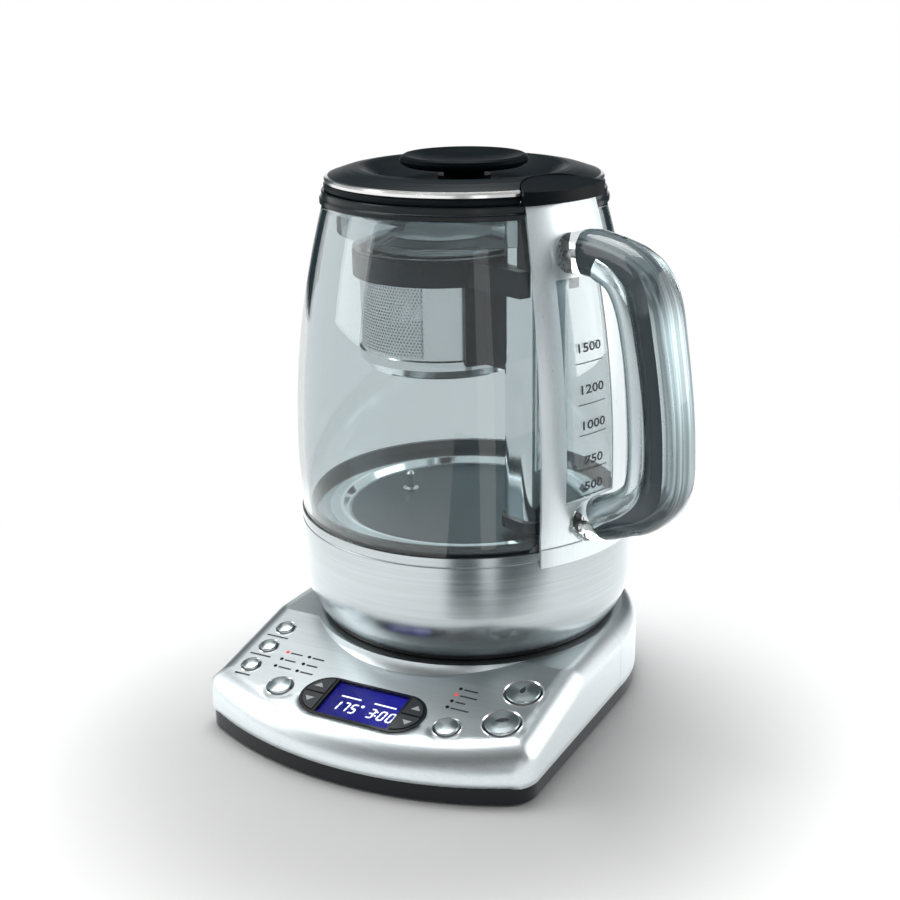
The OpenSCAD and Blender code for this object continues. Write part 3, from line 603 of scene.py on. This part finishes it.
pan = Finish("pressed_floor")  # dish painted dark as a painted reflection, bright wall at 58 to 61 mm, grey ledge with a painted highlight out to 65.5 mm
from_axis = pan.away(pan.place((1, 1, 0)))
cloud = pan.noise(pan.place(), 30.0, 2.0)
wall_near = from_axis.span(0.055, 0.0585)
# Painted reflection: the dish's steel is nearly black, standing in for the dark it mirrors.
dish = pan.mix(wall_near, pan.mix(cloud, (0.03, 0.055, 0.066, 1), (0.045, 0.08, 0.095, 1)),
               (0.85, 0.91, 0.92, 1))
# Painted highlight: the ledge is lighter from the wall out to 65.5 mm and darker beyond.
ledge = pan.mix(from_axis.span(0.0655, 0.066), (0.62, 0.7, 0.71, 1), (0.42, 0.5, 0.51, 1))
dress(pan.surface(Base_Color=pan.mix(from_axis.span(0.0608, 0.0614), dish, ledge), Metallic=1.0,
                  Roughness=0.3 - wall_near * 0.2 + (cloud - 0.5) * 0.06), "floor_plate")
dress(polished("polished_probe", 0.7, 0.12), "temperature_probe")
dress(polished("element_sheath", 0.4, 0.3), "heating_element")

# ---------------------------------------------------------------- glass wall
# The wall is one barrel of clear glass, 3 mm thick, with a fire-polished rim;
# a black silicone ring seals it into the cup.
dress(moulded("black_silicone", (0.02, 0.028, 0.032), 0.25, shine=0.6), "glass_seal")
JUG = Matrix.Rotation(math.radians(-20.5), 4, "Z")  # the handle's side, from the base's


def glass_radius(z):
    """Radius in metres of the glass's outer face at height z, in metres."""
    return math.sqrt(max(0.0, 0.412 ** 2 - (z - 0.120) ** 2)) - 0.3326


def lathe(name, outline, material, steps, place=JUG, arc=None):
    """Turns an outline of (radius, height) points round Z, over arc degrees if given."""
    start, end = arc or (0, 360)
    rows = steps + 1 if arc else steps
    verts, faces, count = [], [], len(outline)
    for k in range(rows):
        a = math.radians(start + (end - start) * k / steps)
        verts += [(r * math.cos(a), r * math.sin(a), z) for r, z in outline]
    for k in range(steps):
        now, then = k * count, ((k + 1) % rows) * count
        for i in range(count):
            j = (i + 1) % count
            faces.append((now + i, then + i, then + j, now + j))
    if arc:
        faces += [tuple(range(count)), tuple(range(steps * count, steps * count + count))]
    return piece_of(name, verts, faces, material, place)


clear_glass = clear("clear_glass", (0.69, 0.745, 0.757, 1), 1.47, 0.0, 0.00003, shine=0.35)
foot, shoulder, edge, thick = 0.0866, 0.0904, 0.2325, 0.00298
heights = [shoulder + (edge - shoulder) * k / 60 for k in range(61)]
wall = [(0.0776, foot), (0.0776, shoulder)] + [(glass_radius(z) - 0.00002, z) for z in heights]
rim = glass_radius(0.2338) - 0.0015
wall += [(rim + 0.0014 * math.cos(a), edge + 0.0012 * math.sin(a))
         for a in (0.5, 1.1, 1.57, 2.04, 2.64)]
wall += [(glass_radius(z) - thick, z) for z in reversed(heights)]
wall += [(glass_radius(foot) - thick, foot)]
glass = lathe("glass_wall", wall, clear_glass, 192)
for vert in glass.data.vertices:  # the rim dips where the spout pours
    flat = JUG.inverted() @ vert.co
    spill = 0.2262
    if flat.z > spill and flat.x < 0 and abs(flat.y) < 0.0112:
        vert.co.z = spill + (flat.z - spill) * 0.08
glass.visible_shadow = False
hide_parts("jug_glass")
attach(glass, "jug")

# ---------------------------------------------------------------- collar and spout
# A black ring is clamped on the glass's edge, with two fine beads round it;
# opposite the handle it opens into the pouring lip.
dress(moulded("collar_black", (0.007, 0.012, 0.015), 0.2, 900.0), "jug_collar", "pour_spout")

# ---------------------------------------------------------------- bracket and level window
# A brushed steel strip runs down the glass and carries the handle; its window
# shows the level, with printed lines and numbers for 500 to 1500 ml.
dress(brushed("brushed_strip", (3000, 3000, 30), 0.88, 0.3, contrast=0.04, metal=0.72),
      "handle_bracket")
dress(clear("window_acrylic", (0.93, 0.95, 0.955, 1), 1.4), "level_window")
nodes["level_window"].visible_shadow = False
ink = moulded("level_ink", (0.03, 0.035, 0.04), 0.5)


def bend_on_window(mesh, z):
    """Wraps flat signs (x right, y up) round the window's face at height z."""
    for vert in mesh.vertices:
        high = z + vert.co.y
        radius = glass_radius(high) + 0.00122 + vert.co.z
        around = math.radians(1.0) + vert.co.x / radius
        vert.co = JUG @ Vector((radius * math.cos(around), radius * math.sin(around), high))


def number_mesh(name, number):
    """A plain wide number as a thin mesh, centred, flat on XY."""
    size = 0.0054
    text = bpy.data.curves.new(name, "FONT")
    text.body, text.size, text.extrude, text.offset = number, size, 0.00003, size * 0.018
    text.align_x = "CENTER"
    text.resolution_u = 3
    holder = link(name + "_text", text)
    bpy.context.view_layer.update()
    mesh = bpy.data.meshes.new_from_object(
        holder.evaluated_get(bpy.context.evaluated_depsgraph_get()))
    bpy.data.objects.remove(holder)
    bpy.data.curves.remove(text)
    mesh.name = name
    mesh.materials.clear()
    mesh.materials.append(ink)
    for vert in mesh.vertices:
        vert.co.x *= 1.45
    return mesh


levels = {"1500": 0.1714, "1200": 0.1536, "1000": 0.1402, "750": 0.1246, "500": 0.1127}
for number, line in levels.items():
    mesh = number_mesh("level_" + number, number)
    bend_on_window(mesh, line + (0.0046 if number in ("1500", "1200") else 0.0024))
    level = link("level_" + number, mesh)
    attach(level, "jug")
middle, half_thick, step = 0.14, 0.00018, 0.0028
rules = []
for line in levels.values():
    for k in range(6):  # short lengths, so that the line follows the window's bend
        left, v = -0.0085 + step * k, line - middle
        rules.append(slab(oblong(left, v - half_thick, left + step, v + half_thick),
                          -0.00003, 0.00003))
lines = piece_of("level_lines", *gather(rules), ink)
bend_on_window(lines.data, middle)
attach(lines, "jug")

# ---------------------------------------------------------------- handle
# A thick clear loop moulded in one piece, with a satin metal tube let into its
# inner side and a dark core behind that, screwed to the bracket at both ends.


def smooth_path(points, steps):
    """A smooth curve in metres through (radius, height) points in mm, and any width."""
    out = []
    for i in range(len(points) - 1):
        before, a, b, after = (points[max(i - 1, 0)], points[i], points[i + 1],
                               points[min(i + 2, len(points) - 1)])
        for k in range(steps):
            t = k / steps
            out.append(tuple(0.5 * (2 * q + (r - p) * t + (2 * p - 5 * q + 4 * r - s) * t * t
                                    + (3 * q - p - 3 * r + s) * t ** 3)
                             for p, q, r, s in zip(before, a, b, after)))
    return [tuple(value / 1000 for value in point) for point in out + [points[-1]]]


def swept(name, path, section, material):
    """Sweeps section(k), a list of (outward, sideways), along a path in the jug's XZ plane."""
    verts, faces, count = [], [], len(section(0))
    for k, point in enumerate(path):
        before, after = path[max(k - 1, 0)], path[min(k + 1, len(path) - 1)]
        dx, dz = after[0] - before[0], after[1] - before[1]
        size = math.hypot(dx, dz)
        out = (-dz / size, dx / size)
        verts += [(point[0] + n * out[0], y, point[1] + n * out[1]) for n, y in section(k)]
    for k in range(len(path) - 1):
        for i in range(count):
            j = (i + 1) % count
            faces.append((k * count + i, k * count + j, (k + 1) * count + j,
                          (k + 1) * count + i))
    faces += [tuple(range(count)), tuple(range(len(verts) - count, len(verts)))]
    return piece_of(name, verts, faces, material, JUG, 50.0)


loop_line = [(70, 217.6, 9), (79, 218.6, 10), (91, 217.4, 10.2), (102, 214.6, 10.6),
             (109.5, 209.6, 10.8), (114.6, 200.5, 10.6), (117.6, 188, 10.2), (120.6, 173, 9.8),
             (123, 157, 9.6), (124.1, 142, 9.6), (123.9, 130, 10), (120.4, 121.5, 10.6),
             (112, 114.2, 11), (102, 109.6, 10.4), (91, 104.8, 10), (80, 101, 9.6)]
loop_path = smooth_path(loop_line, 8)
grip_line = [(85.5, 213.4), (93.6, 210), (99.6, 202.4), (103.8, 190.6), (107.5, 172.3),
             (109.6, 152), (110.2, 134), (108, 121.4), (100.4, 113.6), (92, 108.6), (86, 104.8)]
grip_path = smooth_path(grip_line, 9)


def rounded(half_out, half_side, power):
    """A squarish oval: a superellipse of 40 points."""
    points = []
    for i in range(40):
        a = 2 * math.pi * (i + 0.5) / 40
        c, s = math.cos(a), math.sin(a)
        points.append((half_out * abs(c) ** (2 / power) * (1 if c > 0 else -1),
                       half_side * abs(s) ** (2 / power) * (1 if s > 0 else -1)))
    return points


def off_the_glass(piece, gap):
    """Pushes a piece's points out to the bracket's face."""
    for vert in piece.data.vertices:
        flat = JUG.inverted() @ vert.co
        reach, away = glass_radius(flat.z) + gap, math.hypot(flat.x, flat.y)
        if away < reach:
            flat.x, flat.y = flat.x * reach / away, flat.y * reach / away
        vert.co = JUG @ flat


def bar_section(k):
    """Nearly square, narrower at its outer side; an oval flange at both ends."""
    out, side = loop_path[k][2], 0.009
    near_end = min(k, len(loop_path) - 1 - k)
    flare = max(0.0, 1 - near_end / 7) ** 2
    square = min(1.0, max(0.0, (near_end - 10) / 22))
    points = rounded(out, side + 0.0035 * flare, 2.3 + 1.1 * square)
    return [(n * (1.0 if n < 0 else 1 - 0.1 * square), y) for n, y in points]


def place_in_bar(point, path):
    """How far out, sideways and along a path of the handle a point lies."""
    flat = JUG.inverted() @ point
    k = min(range(1, len(path) - 1), key=lambda i: math.hypot(
        path[i][0] - flat.x, path[i][1] - flat.z))
    a, b = path[k - 1], path[k + 1]
    out = ((a[1] - b[1]) * (flat.x - path[k][0]) + (b[0] - a[0]) * (
        flat.z - path[k][1])) / math.hypot(b[0] - a[0], b[1] - a[1])
    return out, flat.y, k * 0.002


def mark_bar(piece, path):
    """Stores each point's place in the bar, for patterns that follow it."""
    found = piece.data.attributes.new("bar_place", "FLOAT_VECTOR", "POINT")
    for vert in piece.data.vertices:
        found.data[vert.index].vector = place_in_bar(vert.co, path)


def bar_spot(finish, scale=(11, 11, 0.3)):
    """The marked place, stretched so that a pattern runs along the bar."""
    spot = finish.add("ShaderNodeAttribute", {"attribute_name": "bar_place"}, out="Vector")
    return finish.add("ShaderNodeMapping", {}, {"Vector": spot, "Scale": scale})


clear_acrylic = clear("clear_acrylic", (0.79, 0.825, 0.832, 1), 1.36, 0.0, 0.001, 0.5, bar_spot)
loop = swept("handle_loop_clear", loop_path, bar_section, clear_acrylic)
off_the_glass(loop, 0.00175)
mark_bar(loop, loop_path)
loop.visible_shadow = False
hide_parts("handle_loop")
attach(loop, "jug")

satin = Finish("satin_grip")
blast = satin.noise(satin.place(), 1500.0, 2.0)
worn = satin.noise(satin.place(), 40.0, 3.0)
satin_grip = satin.surface(
    Base_Color=satin.mix(worn, (0.46, 0.53, 0.55, 1), (0.53, 0.6, 0.62, 1)), Metallic=1.0,
    Roughness=0.24 + (blast - 0.5) * 0.08 + worn * 0.04, Normal=satin.bump(blast, 0.00001, 0.3))
grip = swept("grip_inlay", grip_path, lambda k: rounded(0.0066, 0.0075, 2.1), satin_grip)
off_the_glass(grip, 0.0018)
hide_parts("handle_insert")
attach(grip, "jug")

# A dark core runs inside the clear bar; along the grip it comes out at both
# sides and holds the grip's tube to the bar.
core_path = loop_path[5:-5]


def core_section(k):
    """Wedge from the tube out to the bar's sides; slimmer in the two arms."""
    end = min(k, len(core_path) - 1 - k)
    full = min(1.0, max(0.0, (end - 24) / 12))
    side = 0.0052 + 0.00395 * full
    half = [(-0.0078, 0.0034), (-0.0028, side), (0.0036, side), (0.0066, side - 0.0034)]
    return half + [(n, -y) for n, y in reversed(half)]


dark_core = moulded("dark_core", (0.02, 0.034, 0.042), 0.3, shine=0.3)
core = swept("grip_core", core_path, core_section, dark_core)
bare = Finish("core_face")  # bare drawn metal along the grip, dark in the arms
height = bare.part(bare.place(), "Z")
by_grip = height.span(0.118, 0.134) * (1.0 - height.span(0.19, 0.213))
mist = bare.noise(bare.place(), 40.0)
drawn = bare.noise(bar_spot(bare, (620, 620, 5)), 1.0, 1.0).span(0.38, 0.62)
core.data.materials.append(bare.surface(
    Base_Color=bare.mix(by_grip, bare.mix(drawn, (0.02, 0.032, 0.04, 1), (0.09, 0.12, 0.13, 1)),
                        bare.mix(drawn, (0.25, 0.31, 0.325, 1), (0.6, 0.68, 0.69, 1))),
    Metallic=by_grip, Roughness=0.24 + mist * 0.08))
for face in core.data.polygons:
    face.material_index = 1 if place_in_bar(face.center, core_path)[0] > 0.0042 else 0
mark_bar(core, core_path)
soften = core.modifiers.new("soft_edges", "BEVEL")
soften.width, soften.segments, soften.limit_method = 0.0006, 2, "ANGLE"
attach(core, "jug")

# ---------------------------------------------------------------- lift column
# A polished steel sleeve stands on the floor in a black foot and ends in a
# black head under the lid; inside, a motor turns the lead screw.
dress(polished("polished_sleeve", 0.9, 0.07), "lift_column")
dress(moulded("head_black", (0.012, 0.018, 0.022), 0.25), "column_foot", "column_head")
dress(moulded("cap_black", (0.0035, 0.006, 0.008), 0.3, 1000.0, shine=0.05), "column_cap")
dress(polished("motor_can", 0.5, 0.3), "lift_motor")
dress(polished("screw_steel", 0.55, 0.2), "lift_screw")

# ---------------------------------------------------------------- carriage
# A black moulded ring and fork run on the sleeve, drawn along by the magnets
# of the nut inside; they carry the basket.
dress(moulded("carriage_black", (0.01, 0.019, 0.024), 0.35, shine=0.15), "carriage")
brass = Finish("nut_brass")
tarnish = brass.noise(brass.place(), 150.0)
dress(brass.surface(Base_Color=brass.mix(tarnish, (0.55, 0.38, 0.12, 1), (0.7, 0.5, 0.2, 1)),
                    Metallic=1.0, Roughness=0.25 + tarnish * 0.15), "drive_nut")
dress(polished("magnet_nickel", 0.55, 0.2), "carriage_magnet")

# ---------------------------------------------------------------- basket
# The basket is a rolled steel can, etched with staggered holes except for a
# plain band towards the column, with a pressed rim and a smoked clear lid.
BASKET = JUG @ Matrix.Translation((-0.017, 0, 0))
can_steel = polished("can_steel", 0.8, 0.2)
dress(polished("rim_steel", 0.85, 0.1), "basket_rim")


def perforated_sheet(name, material):
    """Geometry Nodes tree: a rolled sheet made of six-sided cells, each with its hole."""
    tree = bpy.data.node_groups.new(name, "GeometryNodeTree")
    face = tree.interface
    face.new_socket("Geometry", in_out="INPUT", socket_type="NodeSocketGeometry")
    sizes = {}
    for label, kind in (("Cell", "Object"), ("Columns", "Int"), ("Rows", "Int"),
                        ("Pitch", "Float"), ("Radius", "Float"), ("Start Angle", "Float"),
                        ("Start Height", "Float")):
        sizes[label] = face.new_socket(
            label, in_out="INPUT", socket_type="NodeSocket" + kind).identifier
    face.new_socket("Geometry", in_out="OUTPUT", socket_type="NodeSocketGeometry")
    inlet = tree.nodes.new("NodeGroupInput")
    outlet = tree.nodes.new("NodeGroupOutput")

    def node(kind, sockets=None, **settings):
        made = tree.nodes.new(kind)
        for key, value in settings.items():
            setattr(made, key, value)
        for key, value in (sockets or {}).items():
            if isinstance(value, bpy.types.NodeSocket):
                tree.links.new(value, made.inputs[key])
            else:
                made.inputs[key].default_value = value
        return made

    def sum_of(operation, a, b=0.0):
        return node("ShaderNodeMath", {0: a, 1: b}, operation=operation).outputs[0]

    columns, rows, pitch = inlet.outputs["Columns"], inlet.outputs["Rows"], inlet.outputs["Pitch"]
    points = node("GeometryNodePoints", {"Count": sum_of("MULTIPLY", columns, rows)}).outputs[0]
    index = node("GeometryNodeInputIndex").outputs[0]
    row = sum_of("FLOOR", sum_of("DIVIDE", sum_of("ADD", index, 0.01), columns))
    column = sum_of("SUBTRACT", index, sum_of("MULTIPLY", row, columns))
    shift = sum_of("MULTIPLY", sum_of("MODULO", row, 2.0), 0.5)
    x = sum_of("MULTIPLY", sum_of("ADD", column, shift), pitch)
    y = sum_of("MULTIPLY", sum_of("MULTIPLY", row, pitch), math.sqrt(3) / 2)
    spot = node("ShaderNodeCombineXYZ", {"X": x, "Y": y}).outputs[0]
    placed = node("GeometryNodeSetPosition", {"Geometry": points, "Position": spot})
    cell = node("GeometryNodeObjectInfo", {"Object": inlet.outputs["Cell"]})
    copies = node("GeometryNodeInstanceOnPoints", {
        "Points": placed.outputs[0], "Instance": cell.outputs["Geometry"]})
    real = node("GeometryNodeRealizeInstances", {"Geometry": copies.outputs[0]})
    welded = node("GeometryNodeMergeByDistance", {
        "Geometry": real.outputs[0], "Distance": 0.00002})
    here = node("ShaderNodeSeparateXYZ", {0: node("GeometryNodeInputPosition").outputs[0]})
    reach = sum_of("ADD", inlet.outputs["Radius"], here.outputs["Z"])
    angle = sum_of("ADD", inlet.outputs["Start Angle"],
                   sum_of("DIVIDE", here.outputs["X"], inlet.outputs["Radius"]))
    rolled = node("ShaderNodeCombineXYZ", {
        "X": sum_of("MULTIPLY", reach, sum_of("COSINE", angle)),
        "Y": sum_of("MULTIPLY", reach, sum_of("SINE", angle)),
        "Z": sum_of("ADD", here.outputs["Y"], inlet.outputs["Start Height"])}).outputs[0]
    bent = node("GeometryNodeSetPosition", {"Geometry": welded.outputs[0], "Position": rolled})
    painted = node("GeometryNodeSetMaterial", {
        "Geometry": bent.outputs[0], "Material": material})
    tree.links.new(painted.outputs[0], outlet.inputs[0])
    return tree, sizes


pitch, sheet, hole = 0.00165, 0.0006, 0.00056
middle_radius, half_plain = 0.0379, math.radians(52)
cell_verts, cell_faces = [], []
for radius, z in ((pitch / math.sqrt(3), 0), (hole, 0), (hole, -sheet),
                  (pitch / math.sqrt(3), -sheet)):
    for k in range(6):
        a = math.radians(90 + 60 * k)
        cell_verts.append((radius * math.cos(a), radius * math.sin(a), z))
for row in range(3):
    for k in range(6):
        j = (k + 1) % 6
        cell_faces.append((row * 6 + k, row * 6 + j, row * 6 + 6 + j, row * 6 + 6 + k))
cell_mesh = bpy.data.meshes.new("etched_cell")
cell_mesh.from_pydata(cell_verts, [], cell_faces)
cell = link("etched_cell", cell_mesh)
band = link("etched_band_source", bpy.data.meshes.new("etched_band"))
tree, sizes = perforated_sheet("etched_holes", can_steel)
live = band.modifiers.new("etched_holes", "NODES")
live.node_group = tree
for label, value in (
        ("Cell", cell), ("Rows", 24), ("Pitch", pitch), ("Radius", middle_radius),
        ("Columns", int((2 * math.pi - 2 * half_plain) * middle_radius / pitch)),
        ("Start Angle", half_plain), ("Start Height", 0.1644)):
    live[sizes[label]] = value
bpy.context.view_layer.update()
etched = bpy.data.meshes.new_from_object(
    band.evaluated_get(bpy.context.evaluated_depsgraph_get()))
etched.name = "basket_mesh"
etched.transform(BASKET)
bpy.data.objects.remove(band)
bpy.data.objects.remove(cell)
etch = link("basket_mesh", etched)
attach(etch, "basket_carriage")
for name, inside, outside, low, high, steps, arc in (
        ("basket_plain_band", 0.03735, 0.03798, 0.1634, 0.1978, 48, (-53.5, 53.5)),
        ("basket_can_ends", 0.03732, 0.038, 0.1972, 0.209, 128, None),
        ("basket_can_hem", 0.03732, 0.038, 0.1592, 0.1647, 128, None)):
    piece = lathe(name, oblong(inside, low, outside, high), can_steel, steps, BASKET, arc)
    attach(piece, "basket_carriage")
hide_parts("basket_can")

dress(clear("smoked_clear", (0.55, 0.6, 0.62, 1), 1.45), "basket_lid", "lid_skirt")

# ---------------------------------------------------------------- lid
# The lid is a black moulded cover with a bright ring round its edge, a dished
# finger disc on a stem, a smoked skirt below and a soft grey lip seal.
dress(moulded("lid_cover_black", (0.006, 0.01, 0.0125), 0.34, 900.0, shine=0.05), "lid_cover")
dress(bright_plate, "lid_trim")
dress(moulded("lid_knob_black", (0.0035, 0.006, 0.008), 0.4, 900.0, shine=0.02), "lid_knob")
dress(moulded("lip_seal_grey", (0.3, 0.31, 0.32), 0.55, 600.0), "lid_seal")
